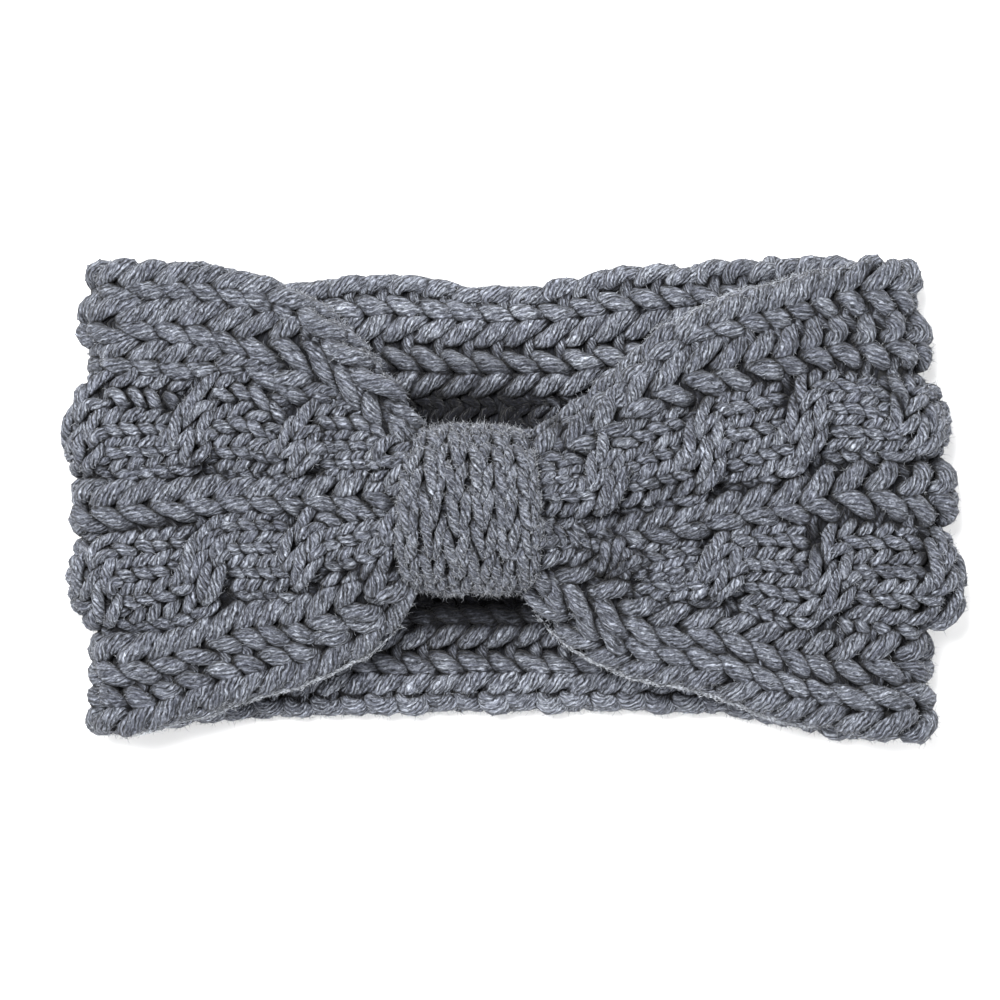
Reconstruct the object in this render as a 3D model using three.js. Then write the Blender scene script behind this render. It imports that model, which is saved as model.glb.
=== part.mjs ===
// Chunky cable-knit ear warmer headband, lying flat on a table.
//
// It is one thick knitted band joined into a loop. The loop lies folded flat:
// a front layer on top, a back layer under it, and a round fold at each end.
// The front layer is gathered into a bundle, and a narrow knitted wrap holds
// the gather. The wrap goes round the front layer only, so the space between
// the two layers stays open for the head.
//
// Frame: X along the folded loop, Y across the band (the top edge is +Y),
// Z up from the table. Millimetres.

import * as THREE from 'three';

// ---------------------------------------------------------------- sizes (mm)
const BAND_HALF = 59.6;        // half of the band's width, cut edge to edge
const FOLD_R = 8.55;           // mid-wall radius of the two end folds
const FOLD_X = 100;            // nominal X of each fold's centre
const BACK_Z = 5.0;            // mid-wall height of the back layer
const FRONT_Z = BACK_Z + 2 * FOLD_R;   // mid-wall height of the front layer
const EDGE_N = 1.7;            // half thickness of the band's rounded edges
const CABLE_REPEAT = 26.2;     // one cable crossing to the next
const CABLE_START = 10.5;      // where along the loop the crossings are counted from

const KNOT_X = -11.2;          // centre of the gather
const KNOT_Y = -3.5;
const KNOT_Z = 26.6;
const WRAP_AY = 15.8;          // inside of the wrap, half width in Y
const WRAP_AZ = 12.0;          // inside of the wrap, half height in Z
const WRAP_HALF_TOP = 18.3;    // half of the wrap's own width, on top
const WRAP_HALF_SIDE = 14.9;   // and where it turns down the sides
const WRAP_RIDGE = 4.6;        // wall at a wale
const WRAP_VALLEY = 3.5;       // wall between two wales
const WRAP_WALES = 6;
const GAP = 0.35;              // between the wrap and what it holds

// The lanes across the band, from the top edge down. A rib is one big knit
// wale that stands proud; a cable is a two-strand rope. at and half give the
// lane's centre and half width, left and right the X of its fold's centre.
const LANES = [
  { name: 'top_rib',      kind: 'rib',   at:  53.0, half:  6.3, left: -94.6, right:  90.6 },
  { name: 'upper_rib',    kind: 'rib',   at:  40.2, half:  6.3, left: -97.6, right:  94.6 },
  { name: 'upper_cable',  kind: 'cable', at:  20.5, half: 13.5, left: -99.1, right:  97.1 },
  { name: 'middle_rib',   kind: 'rib',   at:   0.0, half:  6.3, left: -99.4, right: 100.1 },
  { name: 'lower_cable',  kind: 'cable', at: -20.5, half: 13.5, left: -98.1, right:  99.5 },
  { name: 'lower_rib',    kind: 'rib',   at: -40.2, half:  6.3, left: -94.4, right:  93.8 },
  { name: 'bottom_rib',   kind: 'rib',   at: -53.0, half:  6.3, left: -95.2, right:  94.4 },
];
const RIB_RISE = 5.0;          // outer face at a rib, from mid-wall
const GROOVE_RISE = 2.6;       // outer face in a groove between lanes
const CABLE_LOW = 5.2;         // outer face at a cable's cleft
const CABLE_HIGH = 7.3;        // outer face at a cable's crest
const INNER_RIDGE = 4.6;       // inner face behind a groove
const INNER_HOLLOW = 3.0;      // inner face behind a rib
const INNER_CABLE = 3.7;       // inner face behind a cable

// Outline of the front layer: Y of its top and bottom edge along X. gather
// goes from 0, plain flat wall, to 1, the bundle in the wrap.
const FRONT = [
  { x: -100.0, top:  59.0, bottom: -60.4, gather: 0.00 },
  { x:  -90.0, top:  58.4, bottom: -55.8, gather: 0.00 },
  { x:  -72.0, top:  56.5, bottom: -51.5, gather: 0.06 },
  { x:  -53.6, top:  49.7, bottom: -45.9, gather: 0.22 },
  { x:  -41.0, top:  38.3, bottom: -39.5, gather: 0.46 },
  { x:  -35.6, top:  32.0, bottom: -35.0, gather: 0.62 },
  { x:  -29.6, top:  24.6, bottom: -28.0, gather: 0.84 },
  { x:  -25.8, top:  12.0, bottom: -19.0, gather: 1.00 },
  { x:  -11.2, top:  11.9, bottom: -18.9, gather: 1.00 },
  { x:    4.0, top:  11.9, bottom: -18.9, gather: 1.00 },
  { x:    8.0, top:  14.0, bottom: -26.6, gather: 0.86 },
  { x:   15.0, top:  19.0, bottom: -34.5, gather: 0.66 },
  { x:   23.0, top:  23.6, bottom: -39.8, gather: 0.46 },
  { x:   35.0, top:  37.0, bottom: -45.1, gather: 0.22 },
  { x:   48.0, top:  45.1, bottom: -48.8, gather: 0.08 },
  { x:   60.0, top:  50.7, bottom: -52.8, gather: 0.02 },
  { x:   73.0, top:  53.8, bottom: -56.6, gather: 0.00 },
  { x:   86.0, top:  56.6, bottom: -60.0, gather: 0.00 },
  { x:  100.0, top:  60.2, bottom: -62.2, gather: 0.00 },
];
// Outline of the back layer.
const BACK = [
  { x: -100.0, top:  59.0, bottom: -60.4 },
  { x:  -84.0, top:  56.5, bottom: -57.6 },
  { x:  -60.0, top:  53.4, bottom: -56.0 },
  { x:  -32.0, top:  56.4, bottom: -54.8 },
  { x:   -8.0, top:  52.4, bottom: -54.2 },
  { x:    8.0, top:  52.0, bottom: -54.0 },
  { x:   28.0, top:  58.6, bottom: -54.0 },
  { x:   48.0, top:  59.4, bottom: -54.6 },
  { x:   73.0, top:  61.2, bottom: -57.8 },
  { x:   90.0, top:  61.9, bottom: -62.4 },
  { x:  100.0, top:  60.2, bottom: -62.2 },
];

// Where the cross-sections stand along the loop.
const FRONT_STATIONS = [98, 93, 88, 83, 78, 73, 68, 63, 58, 53, 48, 43.5, 39, 35, 31, 27, 23.5,
  20, 17, 14, 11.5, 9.2, 7, 4.8, 1, -5, -11.2, -17, -23, -27, -29.2, -31.4, -33.8, -36.5, -40,
  -44, -48, -52, -56.5, -61, -66, -71, -76, -81, -86, -91, -96];
const BACK_STATIONS = [-97, -90, -83, -76, -69, -62, -55, -48, -41, -34, -27, -20, -13, -6, 1,
  8, 15, 22, 29, 36, 43, 50, 57, 64, 71, 78, 85, 92, 98];
const FOLD_STEPS = 7;

// --------------------------------------------------------------- small tools
const lerp = (a, b, f) => a + (b - a) * f;
const smooth = (a, b, v) => {
  const f = Math.min(1, Math.max(0, (v - a) / (b - a)));
  return f * f * (3 - 2 * f);
};

// Reads the named column of a table at key, with straight steps between rows.
function readTable(table, keyName, column, key) {
  const rows = table[0][keyName] <= table[table.length - 1][keyName] ? table : [...table].reverse();
  if (key <= rows[0][keyName]) return rows[0][column];
  for (let i = 1; i < rows.length; i++) {
    if (key <= rows[i][keyName]) {
      const a = rows[i - 1], b = rows[i];
      return lerp(a[column], b[column], (key - a[keyName]) / (b[keyName] - a[keyName]));
    }
  }
  return rows[rows.length - 1][column];
}

// ---------------------------------------------------------------- the wall
// Rope relief of a cable: two strands change places, and the one on its way
// up crosses over. c runs from -1 to 1 across the cable, along is in mm.
function cableRise(c, along) {
  const phase = -Math.PI * (along + CABLE_START) / CABLE_REPEAT;
  let best = 0;
  for (const turn of [0, Math.PI]) {
    const centre = -0.46 * Math.cos(phase + turn);
    const high = 0.5 + 0.5 * Math.sin(phase + turn);
    const body = Math.sqrt(Math.max(0, 1 - ((c - centre) / 0.66) ** 2));
    best = Math.max(best, body * (0.35 + 0.65 * high));
  }
  return lerp(CABLE_LOW, CABLE_HIGH, best);
}

// Points across the wall: outer face from the top edge to the bottom edge,
// then the inner face back. t is the place across the band in mm.
function wallPoints() {
  const outer = [], inner = [];
  outer.push({ t: BAND_HALF, part: 'edge' });
  LANES.forEach((lane, i) => {
    const places = lane.kind === 'cable' ? [0.84, 0.34, -0.34, -0.84]
      : i === 0 ? [0.78, 0.1, -0.55] : i === LANES.length - 1 ? [0.55, -0.1, -0.78] : [0.5, -0.5];
    for (const c of places) outer.push({ t: lane.at + c * lane.half, part: lane.kind, c });
    if (i < LANES.length - 1) {
      const next = LANES[i + 1];
      outer.push({ t: (lane.at - lane.half + next.at + next.half) / 2, part: 'groove' });
    }
  });
  outer.push({ t: -BAND_HALF, part: 'edge' });

  inner.push({ t: -BAND_HALF, part: 'edge' });
  for (let i = LANES.length - 1; i >= 0; i--) {
    const lane = LANES[i];
    if (lane.kind === 'cable') {
      inner.push({ t: lane.at - 0.45 * lane.half, part: 'cable' });
      inner.push({ t: lane.at + 0.45 * lane.half, part: 'cable' });
    } else inner.push({ t: lane.at, part: 'rib' });
    if (i > 0) {
      const next = LANES[i - 1];
      inner.push({ t: (lane.at + lane.half + next.at - next.half) / 2, part: 'groove' });
    }
  }
  inner.push({ t: BAND_HALF, part: 'edge' });
  return { outer, inner };
}

function outerRise(point, along) {
  if (point.part === 'edge') return EDGE_N;
  if (point.part === 'groove') return GROOVE_RISE;
  if (point.part === 'cable') return cableRise(point.c, along);
  const roll = Math.abs(point.t) > 56 ? 0.8 : 0;
  return RIB_RISE - roll;
}

function innerDrop(point) {
  if (point.part === 'edge') return EDGE_N;
  if (point.part === 'groove') return INNER_RIDGE;
  return point.part === 'cable' ? INNER_CABLE : INNER_HOLLOW;
}

// How far the wrap reaches in X at a place round it: phi 90 degrees is on top.
function wrapHalf(phi) {
  const up = Math.sin(phi);
  return up > 0 ? lerp(WRAP_HALF_SIDE, WRAP_HALF_TOP, smooth(0.15, 0.95, up)) : WRAP_HALF_SIDE;
}

// Keeps a point of the gathered band inside the wrap as far as the wrap goes.
function holdInWrap(p) {
  const dy = p.y - KNOT_Y, dz = p.z - KNOT_Z;
  const phi = Math.atan2(dz / WRAP_AZ, dy / WRAP_AY);
  if (Math.abs(p.x - KNOT_X) > wrapHalf(phi) + 2.6) return p;
  const out = Math.hypot(dy / (WRAP_AY - GAP), dz / (WRAP_AZ - GAP));
  if (out > 1) { p.y = KNOT_Y + dy / out; p.z = KNOT_Z + dz / out; }
  return p;
}

// A point of the front or back layer. rise is measured from mid-wall outwards
// (up on the front layer, down on the back layer).
function layerPoint(side, x, t, rise) {
  const reach = readTable(LANES, 'at', x < 0 ? 'left' : 'right', t);
  const shift = smooth(45, FOLD_X, Math.abs(x)) * (reach - Math.sign(x) * FOLD_X);
  const table = side === 'front' ? FRONT : BACK;
  const top = readTable(table, 'x', 'top', x), bottom = readTable(table, 'x', 'bottom', x);
  const mid = (top + bottom) / 2, half = (top - bottom) / 2, tau = t / BAND_HALF;
  const p = new THREE.Vector3(x + shift, mid + half * tau, 0);
  if (side === 'back') {
    p.z = Math.max(0, BACK_Z - rise);
    return p;
  }
  const gather = readTable(FRONT, 'x', 'gather', x);
  const bundle = Math.sqrt(Math.max(0, 1 - tau * tau)) * (WRAP_AZ + 0.6) * Math.sign(rise);
  const groove = 0.9 * (rise > 0 ? rise - RIB_RISE : 0);
  const layered = lerp(rise, bundle + groove, gather);
  p.z = lerp(FRONT_Z, KNOT_Z, smooth(0, 1, gather)) + layered;
  return holdInWrap(p);
}

function foldPoint(side, angle, t, rise) {
  const table = side < 0 ? FRONT[0] : FRONT[FRONT.length - 1];
  const mid = (table.top + table.bottom) / 2, half = (table.top - table.bottom) / 2;
  const centre = readTable(LANES, 'at', side < 0 ? 'left' : 'right', t);
  const r = FOLD_R + rise;
  return new THREE.Vector3(centre + r * Math.cos(angle), mid + half * t / BAND_HALF,
    BACK_Z + FOLD_R + r * Math.sin(angle)).max(new THREE.Vector3(-1e3, -1e3, 0));
}

function bandGeometry() {
  const stations = [];
  for (const x of FRONT_STATIONS) stations.push({ side: 'front', x, along: -x });
  for (let i = 0; i < FOLD_STEPS; i++) {
    const f = i / (FOLD_STEPS - 1);
    stations.push({ side: 'fold', sign: -1, angle: Math.PI * (0.5 + f), along: FOLD_X + f * Math.PI * FOLD_R });
  }
  for (const x of BACK_STATIONS) stations.push({ side: 'back', x, along: x });
  for (let i = 0; i < FOLD_STEPS; i++) {
    const f = i / (FOLD_STEPS - 1);
    stations.push({ side: 'fold', sign: 1, angle: Math.PI * (1.5 + f), along: -FOLD_X + (f - 1) * Math.PI * FOLD_R });
  }
  const { outer, inner } = wallPoints();
  const ring = outer.length + inner.length;
  const positions = [];
  for (const station of stations) {
    const place = (t, rise) => station.side === 'fold'
      ? foldPoint(station.sign, station.angle, t, rise)
      : layerPoint(station.side, station.x, t, rise);
    for (const p of outer) positions.push(...place(p.t, outerRise(p, station.along)).toArray());
    for (const p of inner) positions.push(...place(p.t, -innerDrop(p)).toArray());
  }
  const faces = [];
  for (let s = 0; s < stations.length; s++) {
    const next = (s + 1) % stations.length;
    for (let i = 0; i < ring; i++) {
      const j = (i + 1) % ring;
      const a = s * ring + i, b = s * ring + j, c = next * ring + j, d = next * ring + i;
      faces.push(a, b, c, a, c, d);
    }
  }
  return closedGeometry(positions, faces);
}

// ---------------------------------------------------------------- the wrap
function wrapGeometry() {
  const AROUND = 40;
  const section = [];                       // place across (-1..1) and wall rise
  section.push({ c: -0.86, rise: 0 }, { c: -0.98, rise: 1.1 }, { c: -1.0, rise: 2.4 });
  for (let i = 0; i < WRAP_WALES; i++) {
    const centre = -1 + (2 * i + 1) / WRAP_WALES;
    section.push({ c: centre, rise: WRAP_RIDGE - (i === 0 || i === WRAP_WALES - 1 ? 0.5 : 0) });
    if (i < WRAP_WALES - 1) section.push({ c: centre + 1 / WRAP_WALES, rise: WRAP_VALLEY });
  }
  section.push({ c: 1.0, rise: 2.4 }, { c: 0.98, rise: 1.1 }, { c: 0.86, rise: 0 });
  const positions = [], faces = [];
  for (let k = 0; k < AROUND; k++) {
    const phi = 2 * Math.PI * k / AROUND;
    for (const p of section) {
      positions.push(KNOT_X + p.c * wrapHalf(phi),
        KNOT_Y + (WRAP_AY + p.rise) * Math.cos(phi),
        KNOT_Z + (WRAP_AZ + p.rise) * Math.sin(phi));
    }
  }
  const n = section.length;
  for (let k = 0; k < AROUND; k++) {
    const next = (k + 1) % AROUND;
    for (let i = 0; i < n; i++) {
      const j = (i + 1) % n;
      faces.push(k * n + i, k * n + j, next * n + j, k * n + i, next * n + j, next * n + i);
    }
  }
  return closedGeometry(positions, faces);
}

// Makes the geometry and turns its faces outwards.
function closedGeometry(positions, faces) {
  let volume = 0;
  const v = (i) => new THREE.Vector3(positions[3 * i], positions[3 * i + 1], positions[3 * i + 2]);
  for (let i = 0; i < faces.length; i += 3) {
    volume += v(faces[i]).dot(v(faces[i + 1]).cross(v(faces[i + 2])));
  }
  if (volume < 0) for (let i = 0; i < faces.length; i += 3) {
    [faces[i + 1], faces[i + 2]] = [faces[i + 2], faces[i + 1]];
  }
  const geometry = new THREE.BufferGeometry();
  geometry.setAttribute('position', new THREE.Float32BufferAttribute(positions, 3));
  geometry.setIndex(faces);
  geometry.computeVertexNormals();
  return geometry;
}

// ---------------------------------------------------------------- assembly
const yarn = new THREE.MeshStandardMaterial({ color: 0x7c7e84, roughness: 0.95, metalness: 0 });
const wrapYarn = new THREE.MeshStandardMaterial({ color: 0x7a7c82, roughness: 0.95, metalness: 0 });

const band = new THREE.Mesh(bandGeometry(), yarn);
band.name = 'knit_band';

const wrap = new THREE.Mesh(wrapGeometry(), wrapYarn);
wrap.name = 'center_wrap';

// The origin is under the middle of the whole, on the table.
const headband = new THREE.Group();
headband.add(band, wrap);
const extent = new THREE.Box3().setFromObject(headband);
const middle = extent.getCenter(new THREE.Vector3());
headband.position.set(-middle.x, -middle.y, -extent.min.z);

export default headband;
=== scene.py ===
"""Cable-knit ear warmer headband, lying flat, with a gathered centre.

The whole knit is made as yarn: each stitch is a loop of a real tube, laid on
the band's folded and gathered mid-surface. Lengths in the tables are in
millimetres; meshes are written in metres.
"""
import math

import bpy
import numpy as np
from mathutils.bvhtree import BVHTree
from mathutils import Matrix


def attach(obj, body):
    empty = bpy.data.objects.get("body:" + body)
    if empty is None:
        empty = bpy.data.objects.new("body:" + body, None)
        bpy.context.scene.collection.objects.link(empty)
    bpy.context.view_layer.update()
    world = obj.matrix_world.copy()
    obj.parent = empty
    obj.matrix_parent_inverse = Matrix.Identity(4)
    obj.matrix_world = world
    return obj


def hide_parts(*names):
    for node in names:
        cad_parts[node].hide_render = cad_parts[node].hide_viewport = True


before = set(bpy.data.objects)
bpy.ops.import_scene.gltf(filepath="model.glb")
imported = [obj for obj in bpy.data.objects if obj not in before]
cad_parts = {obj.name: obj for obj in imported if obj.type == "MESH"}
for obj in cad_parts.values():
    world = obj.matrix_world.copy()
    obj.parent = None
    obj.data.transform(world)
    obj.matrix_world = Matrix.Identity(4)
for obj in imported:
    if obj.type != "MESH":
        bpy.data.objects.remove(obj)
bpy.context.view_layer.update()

RNG = np.random.default_rng(20)
MM = 0.001
OFFSET = np.array([-0.045, 0.333, 0.0])   # part.mjs centres the whole on the origin

# ------------------------------------------------------------ band, sizes (mm)
HALF = 59.6
FOLD_R = 8.55
FOLD_X = 100.0
BACK_Z = 5.0
FRONT_Z = BACK_Z + 2 * FOLD_R
ARC = math.pi * FOLD_R
LOOP = 4 * FOLD_X + 2 * ARC
KNOT = np.array([-11.2, -3.5, 26.6])
WRAP_AY, WRAP_AZ = 15.8, 12.0
WRAP_HALF_TOP, WRAP_HALF_SIDE = 18.3, 14.9

# Lines across the band, from the top edge down, and their place t in the flat
# knit: top edge, groove below the top rib, foot of the upper rib, head of the
# upper cable, grooves round the middle rib, foot of the lower cable, groove
# between the lower ribs, bottom edge.
LINE_T = np.array([59.6, 47.0, 35.2, 33.6, 7.2, -7.2, -34.4, -46.9, -59.6])

# Y of each line on the front layer, a row for each section along X.
#         x      top    rib1   foot   head   mid+   mid-   foot   rib2   bottom
FRONT_LINES = np.array([
    (-100.0,  59.2,  48.9,  39.0,  33.0,   4.1,  -9.1, -35.8, -48.2, -60.2),
    ( -87.0,  58.6,  49.2,  38.6,  31.6,   5.2,  -7.9, -33.0, -44.3, -55.4),
    ( -69.0,  55.5,  47.2,  34.5,  32.0,   4.6,  -4.1, -26.9, -39.1, -51.0),
    ( -53.6,  49.7,  44.1,  30.4,  24.6,   4.3,  -4.3, -26.4, -36.5, -45.9),
    ( -41.0,  38.3,  34.0,  25.1,  22.3,   3.8,  -2.8, -23.3, -30.7, -39.1),
    ( -31.5,  27.6,  22.6,  18.8,  17.8,   3.6,  -2.3, -18.8, -25.1, -30.6),
    ( -27.2,  16.5,  14.0,  11.2,  10.6,   1.6,  -3.2, -14.0, -18.0, -22.5),
    ( -22.0,  11.2,   8.8,   6.4,   5.9,   0.0,  -4.6, -11.8, -15.6, -18.2),
    (   0.0,  11.2,   8.8,   6.4,   5.9,  -2.2,  -6.6, -12.8, -15.8, -18.2),
    (   5.4,  12.4,   9.8,   7.2,   6.6,  -3.0,  -7.4, -14.0, -18.0, -22.0),
    (  10.0,  14.4,  12.2,   9.2,   8.4,  -3.6,  -8.4, -16.0, -22.6, -29.2),
    (  22.4,  22.8,  19.8,  14.2,  13.4,  -4.4, -11.6, -20.6, -32.2, -38.8),
    (  35.1,  36.2,  31.8,  21.4,  19.8,  -2.6, -13.0, -27.4, -37.8, -45.0),
    (  47.8,  45.1,  39.0,  25.0,  24.2,  -1.6, -10.6, -28.2, -38.6, -48.4),
    (  60.5,  51.0,  40.2,  27.8,  26.6,   2.0,  -7.9, -30.6, -41.6, -52.8),
    (  73.2,  53.8,  42.2,  30.8,  29.6,   4.8,  -7.2, -33.6, -44.6, -56.4),
    (  85.8,  56.2,  44.4,  32.4,  31.2,   9.2,  -6.6, -34.8, -47.2, -58.4),
    ( 100.0,  59.8,  45.4,  33.4,  30.2,   8.6,  -7.2, -35.2, -48.0, -61.6),
])

# The same on the back layer.
BACK_LINES = np.array([
    (-100.0,  59.2,  48.9,  39.0,  33.0,   4.1,  -9.1, -35.8, -48.2, -60.2),
    ( -84.0,  56.6,  46.6,  35.2,  33.0,   5.6,  -8.4, -34.4, -46.6, -57.4),
    ( -60.0,  53.2,  45.2,  32.6,  31.0,   6.2,  -8.0, -34.0, -46.0, -56.0),
    ( -32.0,  55.8,  46.2,  33.4,  31.0,   6.0,  -8.2, -33.6, -45.6, -54.8),
    (  -8.0,  52.6,  44.6,  32.0,  30.4,   5.8,  -8.4, -33.2, -45.4, -54.2),
    (   8.0,  52.4,  44.6,  32.2,  30.6,   5.8,  -8.4, -33.2, -45.4, -54.0),
    (  28.0,  58.2,  47.0,  34.0,  32.4,   6.2,  -8.2, -33.4, -45.6, -54.0),
    (  48.0,  59.0,  47.8,  34.6,  33.0,   6.8,  -7.8, -34.0, -46.0, -54.6),
    (  73.0,  60.8,  47.6,  34.6,  32.6,   7.6,  -7.4, -34.8, -47.0, -57.8),
    (  90.0,  61.0,  46.4,  34.0,  31.4,   8.2,  -7.2, -35.4, -48.4, -61.6),
    ( 100.0,  59.8,  45.4,  33.4,  30.2,   8.6,  -7.2, -35.2, -48.0, -61.6),
])

# Gather of the front layer: 0 flat, 1 the bundle in the wrap.
GATHER = np.array([
    (-100, 0.0), (-86, 0.02), (-72, 0.10), (-60, 0.24), (-50, 0.40), (-42, 0.56), (-35, 0.74),
    (-29, 0.92), (-25, 1.0), (3, 1.0), (7, 0.94), (13, 0.78), (21, 0.58), (30, 0.40), (40, 0.24),
    (52, 0.11), (66, 0.03), (80, 0.0), (100, 0.0),
])

# X of the centre of each end fold, along t. Each lane bulges, with a notch
# between it and the next.
FOLD_CENTRES = np.array([   # t, left, right
    ( 64.0,  -92.6,  88.0),
    ( 58.0,  -95.0,  91.0),
    ( 52.0,  -95.0,  91.0),
    ( 47.0,  -91.5,  87.6),
    ( 43.0,  -97.8,  94.6),
    ( 38.0,  -97.6,  94.8),
    ( 34.4,  -94.0,  91.0),
    ( 28.0, -100.0,  98.4),
    ( 20.0, -101.2,  98.8),
    ( 12.0, -100.2,  98.0),
    (  7.2,  -96.5,  95.0),
    (  3.0,  -99.0, 100.4),
    ( -3.0,  -99.6, 100.6),
    ( -7.2,  -96.8,  96.4),
    (-12.0,  -99.4, 100.0),
    (-20.0, -100.2, 101.0),
    (-28.0,  -98.6,  99.6),
    (-34.4,  -92.0,  92.0),
    (-38.0,  -94.4,  94.0),
    (-43.0,  -94.4,  94.2),
    (-47.0,  -92.4,  91.6),
    (-52.0,  -95.0,  94.4),
    (-58.0,  -95.0,  94.0),
    (-64.0,  -93.0,  92.0),
])

# Lanes of big knit wales (outer face) and of the wales between them, which
# show on the inner face. at is t, half the half width of the V.
OUTER_WALES = {"top": (53.3, 6.0), "upper": (40.8, 6.5), "middle": (0.0, 6.5),
               "lower": (-40.5, 6.3), "bottom": (-53.2, 6.0)}
INNER_WALES = {"top": (47.0, 5.7), "upper": (34.0, 5.2), "mid_up": (7.2, 5.0),
               "mid_low": (-7.2, 5.0), "lower": (-34.0, 5.2), "bottom": (-47.0, 5.7)}
CABLES = {"upper": 20.4, "lower": -20.6}

RIB_ROWS = 60
REPEATS = 18
SHARP = 2.7
CABLE_ROWS = REPEATS * 6
RIB_R = 2.2
CABLE_R = 1.56
WRAP_R = 1.40

# Where the cable crossings lie along the loop: repeat number and s. The end
# folds take up more courses than their length on the mid-surface.
CROSSINGS = [(0, -2.3), (1, 24.3), (2, 52.2), (3, 77.6), (4, 102.6), (5, 127.8), (6, 153.1), (7, 180.3),
             (7.73, 200.0), (8.35, 213.2), (8.98, 226.9)] + \
            [(8.98 + k * 7.856 / 8, 226.9 + k * 25.0) for k in range(1, 9)] + [(17.44, 439.8)]
CROSSINGS = np.array([(q - REPEATS, at - LOOP) for q, at in CROSSINGS[-8:]] + CROSSINGS
                     + [(q + REPEATS, at + LOOP) for q, at in CROSSINGS[:8]])


# ---------------------------------------------------------------- small tools
def pchip(xs, ys, x):
    """Smooth curve through table points, without overshoot."""
    xs, ys = np.asarray(xs, float), np.asarray(ys, float)
    h, d = np.diff(xs), np.diff(ys) / np.diff(xs)
    m = np.zeros_like(ys)
    m[0], m[-1] = d[0], d[-1]
    w1, w2 = 2 * h[1:] + h[:-1], h[1:] + 2 * h[:-1]
    same = d[:-1] * d[1:] > 0
    safe = np.where(same, d[:-1], 1.0), np.where(same, d[1:], 1.0)
    m[1:-1] = np.where(same, (w1 + w2) / (w1 / safe[0] + w2 / safe[1]), 0.0)
    i = np.clip(np.searchsorted(xs, x) - 1, 0, len(xs) - 2)
    t = np.clip((x - xs[i]) / h[i], 0, 1)
    return ((1 + 2 * t) * (1 - t) ** 2 * ys[i] + t * (1 - t) ** 2 * h[i] * m[i]
            + t * t * (3 - 2 * t) * ys[i + 1] + t * t * (t - 1) * h[i] * m[i + 1])


def smoothstep(a, b, x):
    f = np.clip((x - a) / (b - a), 0, 1)
    return f * f * (3 - 2 * f)


def blur(a, axis, sigma, wrap):
    n = int(3 * sigma) + 1
    k = np.exp(-0.5 * (np.arange(-n, n + 1) / sigma) ** 2)
    k /= k.sum()
    pad = [(0, 0)] * a.ndim
    pad[axis] = (n, n)
    b = np.pad(a, pad, mode="wrap" if wrap else "edge")
    out = np.zeros_like(a)
    for j, w in enumerate(k):
        sl = [slice(None)] * a.ndim
        sl[axis] = slice(j, j + a.shape[axis])
        out += w * b[tuple(sl)]
    return out


# ------------------------------------------------------- the band's mid-surface
DS, DT = LOOP / 908, 0.5
S_AXIS = np.arange(908) * DS
T_AXIS = np.arange(-66.0, 66.01, DT)


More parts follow.
